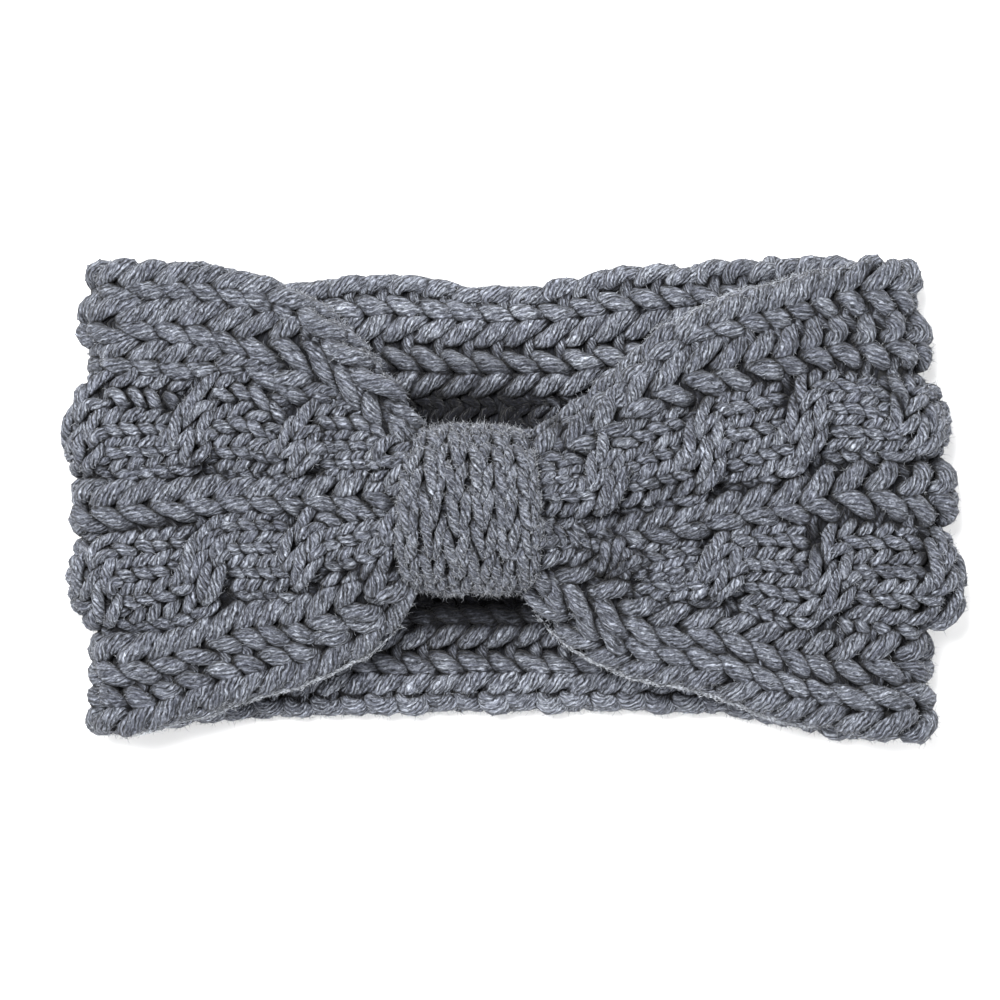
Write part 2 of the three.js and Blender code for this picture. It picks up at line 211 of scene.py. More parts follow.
def build_surface():
    """Mid-surface points and outward normals on a grid over (s, t)."""
    s, t = np.meshgrid(S_AXIS, T_AXIS, indexing="ij")
    on_front = s < 2 * FOLD_X
    on_left = (s >= 2 * FOLD_X) & (s < 2 * FOLD_X + ARC)
    on_back = (s >= 2 * FOLD_X + ARC) & (s < 4 * FOLD_X + ARC)
    x0 = np.where(on_front, FOLD_X - s, np.where(on_left, -FOLD_X,
         np.where(on_back, s - 3 * FOLD_X - ARC, FOLD_X)))
    ang = np.where(on_front, math.pi / 2, np.where(on_left, math.pi / 2 + (s - 2 * FOLD_X) / FOLD_R,
          np.where(on_back, 1.5 * math.pi, 1.5 * math.pi + (s - 4 * FOLD_X - ARC) / FOLD_R)))

    # Y by the line tables, first along X, then across t
    order = np.argsort(LINE_T)
    lines = np.zeros((len(S_AXIS), len(LINE_T)))
    for k in range(len(LINE_T)):
        f = pchip(FRONT_LINES[:, 0], FRONT_LINES[:, k + 1], x0[:, 0])
        b = pchip(BACK_LINES[:, 0], BACK_LINES[:, k + 1], x0[:, 0])
        lines[:, k] = np.where(on_back[:, 0], b, f)
    lines = blur(lines, 0, 3.0, True)
    # left of the knot the top rib lies over the upper half of the rib below it
    y = np.zeros_like(s)
    key = np.insert(LINE_T[order], 7, 40.8)
    over = smoothstep(-66, -48, x0[:, 0]) * (1 - smoothstep(-30, -25, x0[:, 0])) * on_front[:, 0]
    for i in range(len(S_AXIS)):
        row = lines[i][order]
        row = np.insert(row, 7, row[6] + (row[7] - row[6]) * (0.47 + 0.30 * over[i]))
        y[i] = pchip(key, row, np.clip(T_AXIS, key[0], key[-1]))
        low, high = T_AXIS < key[0], T_AXIS > key[-1]
        y[i, low] = row[0] + 0.8 * (T_AXIS[low] - key[0])
        y[i, high] = row[-1] + 0.8 * (T_AXIS[high] - key[-1])

    left = np.interp(T_AXIS, FOLD_CENTRES[::-1, 0], FOLD_CENTRES[::-1, 1])
    right = np.interp(T_AXIS, FOLD_CENTRES[::-1, 0], FOLD_CENTRES[::-1, 2])
    left, right = blur(left, 0, 2, False), blur(right, 0, 2, False)
    shift = np.where(x0 < 0, left[None, :] + FOLD_X, right[None, :] - FOLD_X)
    shift = shift * smoothstep(45, FOLD_X, np.abs(x0))

    gather = pchip(GATHER[:, 0], GATHER[:, 1], x0) * on_front
    gather = blur(gather, 0, 2.0, True)
    tau = np.clip(t / HALF, -1.08, 1.08)
    arch = np.sqrt(np.maximum(0.0, 1.0 - np.minimum(np.abs(tau), 0.998) ** 2))
    bundle = KNOT[2] - 4.6 + 10.4 * arch ** 0.9
    lift = gather * (bundle - FRONT_Z)
    # grooves deepen between the lanes where the fabric is gathered
    groove = np.zeros_like(t)
    for at in (47.0, 34.4, 7.2, -7.2, -34.4, -47.0):
        groove += np.exp(-((t - at) / 2.6) ** 2)
    pleat = smoothstep(0.08, 0.7, gather) * groove * 3.2
    # and the edges curl: up along the top left, down elsewhere
    roll = smoothstep(0.12, 0.6, gather) * (1 - smoothstep(0.80, 1.0, gather))
    curl = np.where((x0 < KNOT[0]) & (t > 0), -6.5, 4.5)
    pleat = pleat + curl * roll * (np.clip(np.abs(t) - 46.0, 0, 20) / 13.6) ** 1.2
    # slow unevenness of a soft fabric
    wave = 0.45 * np.sin(s * 0.071 + 1.3 + 0.03 * t) + 0.35 * np.sin(s * 0.137 - 0.05 * t)
    z = FOLD_R * np.sin(ang) + BACK_Z + FOLD_R + lift - pleat + np.where(on_front, wave, 0)
    sink = np.exp(-(t / 6.5) ** 2) * smoothstep(0, 10, x0) * (1 - smoothstep(22, 50, x0)) * on_front
    z = z - 4.5 * sink
    # right of the knot the lower cable lies deep between its neighbours
    dip = np.exp(-((t + 19) / 9.0) ** 2) * smoothstep(2, 14, x0) * (1 - smoothstep(26, 44, x0)) * on_front
    z = z - 4.0 * dip
    x = x0 + shift + FOLD_R * np.cos(ang) * (~on_front & ~on_back)
    point = np.stack([x, y, z], -1)
    point = blur(point, 0, 2.2, True)

    d_s = np.roll(point, -1, 0) - np.roll(point, 1, 0)
    d_t = np.gradient(point, axis=1)
    normal = np.cross(d_t, d_s)
    normal /= np.linalg.norm(normal, axis=-1, keepdims=True) + 1e-12
    normal = blur(blur(normal, 0, 3.0, True), 1, 2.0, False)
    normal /= np.linalg.norm(normal, axis=-1, keepdims=True) + 1e-12
    if normal[100, len(T_AXIS) // 2, 2] < 0:
        normal = -normal
    return point, normal


POINT, NORMAL = build_surface()


def on_band(s, t, n):
    """The place of fabric point (s, t) at height n off the mid-surface."""
    fs = (s % LOOP) / DS
    i = np.floor(fs).astype(int)
    a = fs - i
    i0, i1 = i % len(S_AXIS), (i + 1) % len(S_AXIS)
    ft = np.clip((t - T_AXIS[0]) / DT, 0, len(T_AXIS) - 1.001)
    j = np.floor(ft).astype(int)
    b = (ft - j)[..., None]
    a = a[..., None]
    p = ((1 - a) * (1 - b) * POINT[i0, j] + a * (1 - b) * POINT[i1, j]
         + (1 - a) * b * POINT[i0, j + 1] + a * b * POINT[i1, j + 1])
    m = ((1 - a) * (1 - b) * NORMAL[i0, j] + a * (1 - b) * NORMAL[i1, j]
         + (1 - a) * b * NORMAL[i0, j + 1] + a * b * NORMAL[i1, j + 1])
    m /= np.linalg.norm(m, axis=-1, keepdims=True)
    return p + n[..., None] * m, m


def skew(s, t):
    """Courses lean a little: lower lanes run ahead towards the right end."""
    x = np.where((s % LOOP) < 2 * FOLD_X, FOLD_X - (s % LOOP), (s % LOOP) - 3 * FOLD_X - ARC)
    amount = np.interp(x, [-100, -78, -52, 0, 50, 100], [2.4, 2.4, 0.8, 2.4, 4.4, 5.6])
    return s - amount * (20.5 - t) / 41.0


def s_of(q):
    """s of a place counted in cable repeats."""
    return pchip(CROSSINGS[:, 0], CROSSINGS[:, 1], q)


# ----------------------------------------------------------------- yarn tubes
def spline(control, per):
    """Catmull-Rom through control (rows, m, 3), per steps between points."""
    c = np.concatenate([2 * control[:, :1] - control[:, 1:2], control,
                        2 * control[:, -1:] - control[:, -2:-1]], axis=1)
    m = control.shape[1]
    steps = np.asarray(per)
    if steps.ndim == 0:
        steps = np.full(m - 1, int(steps))
    out = []
    for k in range(m - 1):
        f = (np.arange(steps[k]) / steps[k])[None, :, None]
        p0, p1, p2, p3 = (c[:, k + j][:, None] for j in range(4))
        out.append(0.5 * (2 * p1 + (p2 - p0) * f + (2 * p0 - 5 * p1 + 4 * p2 - p3) * f ** 2
                          + (3 * p1 - p0 - 3 * p2 + p3) * f ** 3))
    out.append(control[:, -1:])
    return np.concatenate(out, axis=1)


def tubes(paths, radius, sides, seed_id=0):
    """Closed round tubes along paths (rows, n, 3), with the turn, length and
    yarn number of each face corner."""
    rows, n, _ = paths.shape
    # the side that lies on the table is pressed flat
    rest = np.broadcast_to(np.asarray(radius, float), (rows, n)) + 0.05
    paths = paths.copy()
    paths[..., 2] = 0.5 * (paths[..., 2] + rest + np.sqrt((paths[..., 2] - rest) ** 2 + 0.5))
    tan = np.gradient(paths, axis=1)
    tan /= np.linalg.norm(tan, axis=-1, keepdims=True) + 1e-9
    seg = np.linalg.norm(np.diff(paths, axis=1), axis=-1)
    length = np.concatenate([np.zeros((rows, 1)), np.cumsum(seg, axis=1)], axis=1)
    u = np.zeros_like(paths)
    start = np.cross(tan[:, 0], np.array([0.3, 0.2, 0.93]))
    u[:, 0] = start / (np.linalg.norm(start, axis=-1, keepdims=True) + 1e-9)
    for k in range(1, n):
        v = u[:, k - 1] - tan[:, k] * (u[:, k - 1] * tan[:, k]).sum(-1, keepdims=True)
        u[:, k] = v / (np.linalg.norm(v, axis=-1, keepdims=True) + 1e-9)
    w = np.cross(tan, u)
    ang = 2 * np.pi * np.arange(sides) / sides
    r = np.broadcast_to(np.asarray(radius, float), (rows, n)).copy()
    lump = RNG.normal(0, 1, (rows, n, sides))
    lump = 0.5 * lump + 0.5 * np.roll(lump, 1, axis=2)
    slow = RNG.normal(0, 1, (rows, n + 4))
    slow = (slow[:, :-4] + slow[:, 1:-3] + slow[:, 2:-2] + slow[:, 3:-1] + slow[:, 4:]) / 2.2
    r = r * (1 + 0.045 * slow)
    r[:, 0] *= 0.55
    r[:, -1] *= 0.55
    full = r[:, :, None] * (1 + 0.072 * lump)
    way = np.cos(ang)[None, None, :, None] * u[:, :, None] + np.sin(ang)[None, None, :, None] * w[:, :, None]
    verts = (paths[:, :, None] + full[..., None] * way).reshape(-1, 3)
    base = (np.arange(rows)[:, None, None] * n + np.arange(n - 1)[None, :, None]) * sides
    i = np.arange(sides)[None, None, :]
    j = (i + 1) % sides
    quads = np.stack([base + i, base + j, base + sides + j, base + sides + i], -1).reshape(-1, 4)
    yarn = np.arange(rows) + seed_id
    data = np.zeros((rows, n - 1, sides, 4, 3), np.float32)
    data[..., 0, 0] = data[..., 3, 0] = i / sides
    data[..., 1, 0] = data[..., 2, 0] = (i + 1) / sides
    data[..., 0, 1] = data[..., 1, 1] = length[:, :-1, None]
    data[..., 2, 1] = data[..., 3, 1] = length[:, 1:, None]
    data[..., 2] = yarn[:, None, None, None]
    first = np.arange(rows) * n * sides
    last = first + (n - 1) * sides
    caps = np.concatenate([first[:, None] + np.arange(sides)[::-1][None, :],
                           last[:, None] + np.arange(sides)[None, :]])
    capdata = np.zeros((len(caps), sides, 3), np.float32)
    capdata[..., 0] = np.arange(sides) / sides
    capdata[:rows, :, 2] = yarn[:, None]
    capdata[rows:, :, 2] = yarn[:, None]
    capdata[rows:, :, 1] = length[:, -1:]
    made = {"verts": verts, "quads": quads, "data": data.reshape(-1, 3), "caps": caps,
            "capdata": capdata.reshape(-1, 3), "way": way.reshape(-1, 3),
            "along": np.repeat(tan.reshape(-1, 3), sides, axis=0), "paths": paths, "radius": r,
            "lay": np.repeat((-2 * tan[..., 0] * tan[..., 1] / (tan[..., 0] ** 2 + tan[..., 1] ** 2 + 0.15)).reshape(-1), sides),
            "open": None}
    YARNS.append(made)
    return made


YARNS = []     # every set of tubes


# Spots of painted shade on the front layer, beside the cable crossings and between the lanes:
# x, y, half sizes, and how closed they are. Two of them, near (25, -18), lie over a real dip of up to 4 mm; the rest
# are painted shade only.
PAINTED_SHADE_SPOTS = np.array([
    ( 29.0, -18.0, 6.0, 4.2, 0.32), ( 21.0, -16.7, 13.0, 5.5, 0.36), ( 40.0,   2.0, 9.0, 3.0, 0.36), ( 34.0, -5.5, 12.0, 3.6, 0.34), ( 76.6, -13.2, 2.4, 4.6, 0.55),
    (104.0, -16.0, 2.2, 4.0, 0.50), ( 49.3, -27.4, 3.2, 2.2, 0.50), ( 69.5,  23.9, 2.0, 4.2, 0.60),
    ( 98.4,  23.3, 2.0, 4.2, 0.60), ( 47.5,  23.2, 4.2, 2.2, 0.50), ( 62.0,   2.0, 18.0, 2.0, 0.40),
    ( 11.0,  17.7, 5.0, 3.4, 0.55), (-79.9,   8.4, 3.0, 3.8, 0.50), (-71.9, -25.8, 1.8, 4.4, 0.60),
    (-87.0,  22.8, 2.2, 3.4, 0.45), (-39.0, -19.2, 7.0, 2.6, 0.55), (-46.0,  15.0, 5.0, 2.2, 0.40),
    (-92.0,  -7.6, 12.0, 1.7, 0.35), (-60.0,   8.0, 10.0, 1.8, 0.35), ( 88.0,  -7.0, 12.0, 1.8, 0.35),
])


# ------------------------------------------------------------------- openness
NEAR, FAR = 9.0, 45.0      # mm, how far a neighbour and a wall still shade
RAYS = [(0.0, 0.0)] + [(35.0, a) for a in (0, 120, 240)] + [(64.0, a) for a in (30, 102, 174, 246, 318)]


def set_openness(skins):
    """For each yarn point, how open the space in front of it is: 0 deep
    between loops, 1 in the open. Found by rays sent out from the point."""
    # The openness darkens the yarn's colour as painted shade, and the lift set here lightens it as painted light.
    verts, quads, at = [], [], 0
    for part in YARNS + skins:
        verts.append(part["verts"])
        quads.append(part["quads"] + at)
        at += len(part["verts"])
    tree = BVHTree.FromPolygons(np.concatenate(verts).tolist(), np.concatenate(quads).tolist())
    cast = tree.ray_cast
    for made in YARNS:
        way, along = made["way"], made["along"]
        side = np.cross(way, along)
        start = made["verts"] + 0.10 * way
        got = np.zeros((len(way), len(RAYS)))
        for k, (tilt, turn) in enumerate(RAYS):
            a, b = math.radians(tilt), math.radians(turn)
            aim = math.cos(a) * way + math.sin(a) * (math.cos(b) * along + math.sin(b) * side)
            hits = [cast(o, d, FAR)[3] for o, d in zip(start.tolist(), aim.tolist())]
            got[:, k] = np.array([FAR if h is None else h for h in hits])
        light = np.clip(got / NEAR, 0, 1) ** 0.6 * (0.66 + 0.34 * smoothstep(NEAR, FAR, got))
        weight = np.array([math.cos(math.radians(tilt)) + 0.15 for tilt, _ in RAYS])
        made["open"] = (light * weight).sum(1) / weight.sum()
        # painted shade: the openness is cut by up to 70% in the hollow behind the gathered centre, on its inner face;
        # the outside under it is left alone
        x, y, z = made["verts"].T
        deep = np.exp(-((x - KNOT[0]) / 26.0) ** 4 - ((y - KNOT[1]) / 38.0) ** 4) * smoothstep(17.0, 12.0, z) * smoothstep(4.0, 6.5, z)
        made["open"] = made["open"] * (1 - 0.70 * deep)
        # painted shade: each spot lowers the openness, which darkens the yarn's colour
        for px, py, rx, ry, much in PAINTED_SHADE_SPOTS:
            near = np.exp(-((x - px) / rx) ** 2 - ((y - py) / ry) ** 2) * smoothstep(15.0, 19.0, z)
            made["open"] = made["open"] * (1 - much * near)
        # painted light: yarn facing up below the front layer, on the back layer's inner side, is lightened through the
        # lift attribute
        made["lift"] = 0.45 * smoothstep(17.0, 12.0, z) * smoothstep(-0.1, 0.4, way[:, 2])
    # painted highlight: the yarn along the front layer's edges is lightened through the lift attribute
    for name, side in (("rib_yarn_top", 1), ("rib_yarn_bottom", -1)):
        arcs = plan[name][0]
        rim = smoothstep(0.05, 0.65, side * arcs["way"][:, 1]) * smoothstep(12.5, 15.5, arcs["verts"][:, 2])
        if side > 0:
            rim = rim * smoothstep(20.0, 45.0, arcs["verts"][:, 0])
        arcs["lift"] = np.maximum(arcs["lift"], 0.6 * rim)
    every = np.concatenate([made["open"] for made in YARNS])
    print("open", np.percentile(every, [5, 25, 50, 75, 90, 97]).round(2))


def make_mesh(name, parts):
    """One mesh object from several tube sets."""
    verts, corner, sizes, data, out, lay, lift, at = [], [], [], [], [], [], [], 0
    for part in parts:
        verts.append(part["verts"])
        out.append(part["open"])
        lay.append(part["lay"])
        lift.append(part["lift"])
        corner.append((part["quads"] + at).reshape(-1))
        sizes.append(np.full(len(part["quads"]), 4))
        data.append(part["data"])
        if len(part["caps"]):
            corner.append((part["caps"] + at).reshape(-1))
            sizes.append(np.full(len(part["caps"]), part["caps"].shape[1]))
            data.append(part["capdata"])
        at += len(part["verts"])
    verts = (np.concatenate(verts) + OFFSET) * MM
    corner, sizes, data = np.concatenate(corner), np.concatenate(sizes), np.concatenate(data)
    mesh = bpy.data.meshes.new(name)
    mesh.vertices.add(len(verts))
    mesh.vertices.foreach_set("co", verts.astype(np.float32).ravel())
    mesh.loops.add(len(corner))
    mesh.loops.foreach_set("vertex_index", corner.astype(np.int32))
    mesh.polygons.add(len(sizes))
    mesh.polygons.foreach_set("loop_start", np.concatenate([[0], np.cumsum(sizes)[:-1]]).astype(np.int32))
    mesh.update(calc_edges=True)
    mesh.polygons.foreach_set("use_smooth", np.ones(len(sizes), bool))
    attr = mesh.attributes.new("yarn", "FLOAT_VECTOR", "CORNER")
    attr.data.foreach_set("vector", data.astype(np.float32).ravel())
    attr = mesh.attributes.new("open", "FLOAT", "POINT")
    attr.data.foreach_set("value", np.concatenate(out).astype(np.float32))
    attr = mesh.attributes.new("lay", "FLOAT", "POINT")
    attr.data.foreach_set("value", np.concatenate(lay).astype(np.float32))
    attr = mesh.attributes.new("lift", "FLOAT", "POINT")
    attr.data.foreach_set("value", np.concatenate(lift).astype(np.float32))
    mesh.validate()
    obj = bpy.data.objects.new(name, mesh)
    bpy.context.scene.collection.objects.link(obj)
    print("piece", name, len(verts), "points", int(np.maximum(sizes - 2, 0).sum()), "triangles")
    return obj


# ------------------------------------------------------------------- stitches
# Half of a loop, from its foot to its head: u across in half widths, v along
# in courses, w off the fabric (1 is the face side), and the yarn's thickness.
RIB_LEG = np.array([
    (0.34, 0.04, -0.45, 0.78),
    (0.16, 0.15,  0.10, 0.92),
    (0.20, 0.38,  0.80, 1.06),
    (0.44, 0.70,  1.04, 1.12),
    (0.70, 1.02,  0.80, 1.05),
    (0.83, 1.30,  0.08, 0.88),
    (0.58, 1.48, -0.40, 0.78),
    (0.00, 1.54, -0.55, 0.78),
])
CABLE_LEG = np.array([
    (0.36, 0.02, -0.80, 0.80),
    (0.18, 0.14, -0.05, 0.92),
    (0.22, 0.36,  0.80, 1.05),
    (0.46, 0.68,  1.08, 1.10),
    (0.72, 1.00,  0.80, 1.04),
    (0.84, 1.26, -0.05, 0.88),
    (0.58, 1.45, -0.80, 0.80),
    (0.00, 1.52, -1.00, 0.80),
])
WRAP_LEG = np.array([
    (0.14, 0.00, -0.95, 0.84),
    (0.10, 0.16,  0.00, 0.92),
    (0.18, 0.42,  0.85, 1.02),
    (0.42, 0.85,  1.05, 1.06),
    (0.66, 1.25,  0.78, 1.02),
    (0.80, 1.52, -0.05, 0.92),
    (0.54, 1.70, -0.95, 0.84),
    (0.00, 1.78, -1.15, 0.84),
])


def loop_points(leg):
    """A whole loop, from one foot over its head to the other."""
    down = leg[::-1][1:].copy()
    down[:, 0] *= -1
    return np.concatenate([leg, down])


def rib_zone(lanes, first_tail, last_tail, turn=None, span=(0.0, LOOP)):
    """Courses across one rib zone: (t, half, face, way, base) for each wale.
    Where turn is given, the yarn turns back there from course to course."""
    step = REPEATS / RIB_ROWS
    q0 = np.arange(RIB_ROWS) * step
    q0 = q0[(s_of(q0) >= span[0] - 3) & (s_of(q0) < span[1])]
    rows = len(q0)
    control = []
    for at, half, face, way, base in lanes:
        jit = RNG.normal(0, 1, (rows, 3)) * np.array([0.03, 0.045, 0.07])
        flat_side = 1 if face * way > 0 else -1
        for u, v, w, r in loop_points(RIB_LEG):
            if u * flat_side > 0 and 0.1 < v < 1.4:
                ends = 0.80 if v < 0.3 or v > 1.1 else 0.50
                w, r = 1 - ends * (1 - w), 0.4 * r + 0.71 - 0.10 * (ends > 0.6)
            elif u * flat_side < 0:
                r = r * 1.06 - 0.05
            wobble = RNG.normal(0, 1, (rows, 4)) * np.array([0.018, 0.018, 0.04, 0.02])
            vv = v + jit[:, 1] + wobble[:, 1]
            uu = u + jit[:, 0] + wobble[:, 0]
            ww = w + (jit[:, 2] if w > 0 else 0) + wobble[:, 2]
            if way < 0:
                vv = 1.34 - vv
            s = s_of(q0 - vv * step)
            t = at + uu * half
            sink = base(s) if callable(base) else base
            n = face * (sink + ww * 3.0)
            control.append(np.stack([skew(s, t), t, n, RIB_R * (r + wobble[:, 3])], -1))
    head, tail = control[0].copy(), control[-1].copy()
    for point, (dt, dn) in ((head, first_tail), (tail, last_tail)):
        point[:, 1] += dt
        point[:, 2] += dn
    made = []
    if turn is not None:
        end, (dt, dn) = (head, turn[1]) if turn[0] == "head" else (tail, turn[1])
        a, b = end, np.roll(end, -1, 0)
        gap = (b[:, :1] - a[:, :1] + LOOP / 2) % LOOP - LOOP / 2
        arc = []
        size = 1 + np.clip(RNG.normal(0, 0.16, rows), -0.3, 0.4)
        push = RNG.normal(0, 0.5, (rows, 2))
        for f, out in ((0.0, 0.0), (-0.02, 0.50), (0.16, 0.95), (0.5, 1.10), (0.86, 0.90), (1.12, 0.50), (1.0, 0.0)):
            point = a.copy()
            point[:, 0] += f * gap[:, 0]
            point[:, 1] = (1 - f) * a[:, 1] + f * b[:, 1] + (out * size - 0.55) * dt
            point[:, 0] += out * push[:, 0]
            point[:, 2] = (1 - f) * a[:, 2] + f * b[:, 2] + out * (dn + push[:, 1] + 2.0 * (f - 0.5))
            point[:, 3] = RIB_R * (0.70 + 0.38 * out) * (0.8 + 0.2 * size)
            arc.append(point)
        path = spline(np.stack(arc, axis=1), 2)
        made.append((on_band(path[..., 0], path[..., 1], path[..., 2])[0], path[..., 3]))
    control = np.stack([head] + control + [tail], axis=1)
    steps = [1] + ([1, 2, 2, 2, 2, 1, 1, 1, 1, 2, 2, 2, 2, 1] + [2]) * len(lanes)
    steps = steps[:control.shape[1] - 1]
    steps[-1] = 1
    path = spline(control, steps)
    made.append((on_band(path[..., 0], path[..., 1], path[..., 2])[0], path[..., 3]))
    return made


def cable_strand(at, k, half, reach):
    """Courses of one two-wale strand of a cable. The strands change places
    at each whole repeat, the one that comes up from below lying on top."""
    rows = CABLE_ROWS
    q0 = np.arange(rows) / 6.0
    control = []
    for wale in (0.5, -0.5):
        jit = RNG.normal(0, 1, (rows, 3)) * np.array([0.04, 0.06, 0.09])
        for u, v, w, r in loop_points(CABLE_LEG):
            wobble = RNG.normal(0, 1, (rows, 4)) * np.array([0.03, 0.02, 0.04, 0.02])
            q = q0 - (v + jit[:, 1] + wobble[:, 1]) / 6.0
            s = s_of(q)
            phi = np.pi * (q + 0.5 + k)
            c, sn = np.cos(phi), np.sin(phi)
            t_path = reach * np.tanh(SHARP * c) / math.tanh(SHARP)
            slope = reach * SHARP / np.cosh(SHARP * c) ** 2 / math.tanh(SHARP) * (-sn) * np.pi / 26.7
            beta = 0.50 * np.arctan(slope)
            lateral = wale * 2 * half + (u + jit[:, 0] + wobble[:, 0]) * half
            across = t_path + lateral * np.cos(beta)
            rise = np.where(sn > 0, 3.3 * sn ** 2, -3.4 * sn ** 2) * np.exp(-(c / 0.72) ** 2)
            fold = smoothstep(16, 4, np.abs((s % LOOP) - 213.4)) + smoothstep(16, 4, np.abs((s + 13.4 + LOOP / 2) % LOOP - LOOP / 2))
            n = 2.6 - 0.8 * fold + rise * (1 - 0.65 * fold) - 0.015 * across ** 2 + (w + (jit[:, 2] if w > 0 else 0) + wobble[:, 2]) * 1.75
            ss = s - lateral * np.sin(beta)
            tt = at + across
            control.append(np.stack([skew(ss, tt), tt, n, CABLE_R * (r + wobble[:, 3])], -1))
    head, tail = control[0].copy(), control[-1].copy()
    head[:, 1] += 0.8
    tail[:, 1] -= 0.8
    head[:, 2] -= 2.2
    tail[:, 2] -= 2.2
    control = np.stack([head] + control + [tail], axis=1)
    steps = [1] + ([1, 2, 2, 2, 2, 1, 1] + [1, 1, 2, 2, 2, 2, 1] + [1]) * 2
    steps = steps[:control.shape[1] - 1]
    steps[-1] = 1
    path = spline(control, steps)
    return on_band(path[..., 0], path[..., 1], path[..., 2])[0], path[..., 3]


def purl_side(at, wales, half, rows, s0, s1, depth, radius):
    """The reverse of a plain zone: courses that wave in and out."""
    q0 = np.linspace(s0, s1, rows)
    t = np.linspace(wales * half, -wales * half, wales * 6 + 1)
    wave = np.sin(np.arange(wales * 6 + 1) / 6 * 2 * np.pi)
    pitch = (s1 - s0) / (rows - 1)
    s = q0[:, None] + 0.36 * pitch * wave[None, :] + RNG.normal(0, 0.45, (rows, len(t))) + RNG.normal(0, 0.6, (rows, 1))
    tt = at + t[None, :] + RNG.normal(0, 0.1, s.shape)
    n = -depth - 0.35 * np.cos(np.arange(len(t)) / 6 * 4 * np.pi)[None, :] + RNG.normal(0, 0.30, s.shape)
    return on_band(skew(s, tt), tt, n)[0], np.full(s.shape, radius)


# ---------------------------------------------------------------------- wrap
WRAP_WALES = 6
WRAP_ROWS = 16


def wrap_half(phi):
    """Half width of the wrap round its section: narrow at the top edge."""
    return np.interp(np.degrees(phi) % 360, [0, 20, 50, 90, 125, 160, 180, 270, 360],
                     [14.6, 15.4, 17.6, 18.6, 18.6, 17.4, 16.4, 14.6, 14.6])


def on_wrap(c, phi, rise):
    """c runs from -1 to 1 across the wrap, phi round it, rise off its inside."""
    roll = np.clip(np.abs(c) - 0.76, 0, 1)
    x = KNOT[0] + 0.6 + c * wrap_half(phi) * (1 - 0.22 * roll)
    h = rise - 13.0 * roll ** 1.6 + 1.2 * (1 - c * c) - 0.6
    return np.stack([x, KNOT[1] + (WRAP_AY + h) * np.cos(phi), KNOT[2] + (WRAP_AZ + h) * np.sin(phi)], -1)


def wrap_paths():
    rows = WRAP_ROWS
    phi0 = 2 * np.pi * np.arange(rows) / rows
    width = 1.0 / WRAP_WALES
    control = []
    for wale in range(WRAP_WALES):
        centre = -1 + (2 * wale + 1) * width
        jit = RNG.normal(0, 1, (rows, 3)) * np.array([0.13, 0.13, 0.14])
        for u, v, w, r in loop_points(WRAP_LEG):
            wobble = RNG.normal(0, 1, (rows, 4)) * np.array([0.06, 0.03, 0.08, 0.04])
            # the Vs point to the lower edge on top, so courses rise towards +Y
            phi = phi0 - (v + jit[:, 1] + wobble[:, 1]) * 2 * np.pi / rows
            c = centre - (u * 0.98 + jit[:, 0] + wobble[:, 0]) * width
            rise = 2.3 + (w + (jit[:, 2] if w > 0 else 0) + wobble[:, 2]) * 1.5
            control.append(np.stack([c + 0 * phi, phi, rise, WRAP_R * (r + wobble[:, 3])], -1))
    control = np.stack(control, axis=1)
    steps = ([1, 2, 2, 3, 3, 2, 1] + [1, 2, 3, 3, 2, 2, 1] + [2]) * WRAP_WALES
    path = spline(control, steps[:control.shape[1] - 1])
    return on_wrap(path[..., 0], path[..., 1], path[..., 2]), path[..., 3]


# ---------------------------------------------------------------- the pieces
def lane(table, name, face, way=1, base=0.0):
    at, half = table[name]
    return (at, half, face, way, base)


def tube_sets(made, sides, seed_id):
    return [tubes(path, radius, sides, seed_id + 500 * k) for k, (path, radius) in enumerate(made)]


plan = {}
plan["rib_yarn_top"] = tube_sets(rib_zone([
    lane(OUTER_WALES, "top", 1), lane(INNER_WALES, "top", -1),
    lane(OUTER_WALES, "upper", 1), lane(INNER_WALES, "upper", -1, 1, 1.0)], (0.6, -0.3), (-2.0, 1.0),
    ("head", (3.6, -0.2))), 10, 0)
plan["rib_yarn_top"] += tube_sets(rib_zone([(34.1, 1.25, 1, 1, -0.35)], (0.3, -2.0), (-0.3, -2.0), span=(122.0, 236.0)), 8, 60)
plan["rib_yarn_middle"] = tube_sets(rib_zone([
    lane(INNER_WALES, "mid_up", -1, 1, 0.8), lane(OUTER_WALES, "middle", 1), lane(INNER_WALES, "mid_low", -1, 1, 0.8)],
    (2.0, 1.0), (-2.0, 1.0)), 10, 130)
plan["rib_yarn_bottom"] = tube_sets(rib_zone([
    lane(INNER_WALES, "lower", -1, 1, 1.0), lane(OUTER_WALES, "lower", 1),
    lane(INNER_WALES, "bottom", -1), lane(OUTER_WALES, "bottom", 1, -1)], (2.0, 1.0), (-0.6, -0.3),
    ("tail", (-3.6, -0.2))), 10, 200)
for number, (name, at) in enumerate(CABLES.items()):
    for k, part in enumerate(("first", "second")):
        sets = [tubes(*cable_strand(at, k, 3.42, 6.9), 8, 300 + 200 * number + 110 * k)]
        if k == 1:
            sets.append(tubes(*purl_side(at, 4, 3.4, 54, 216.0, 438.0, 2.3, 1.4), 6, 1800 + 60 * number))
        plan[f"cable_yarn_{name}_{part}"] = sets
plan["wrap_yarn"] = [tubes(*wrap_paths(), 10, 900)]



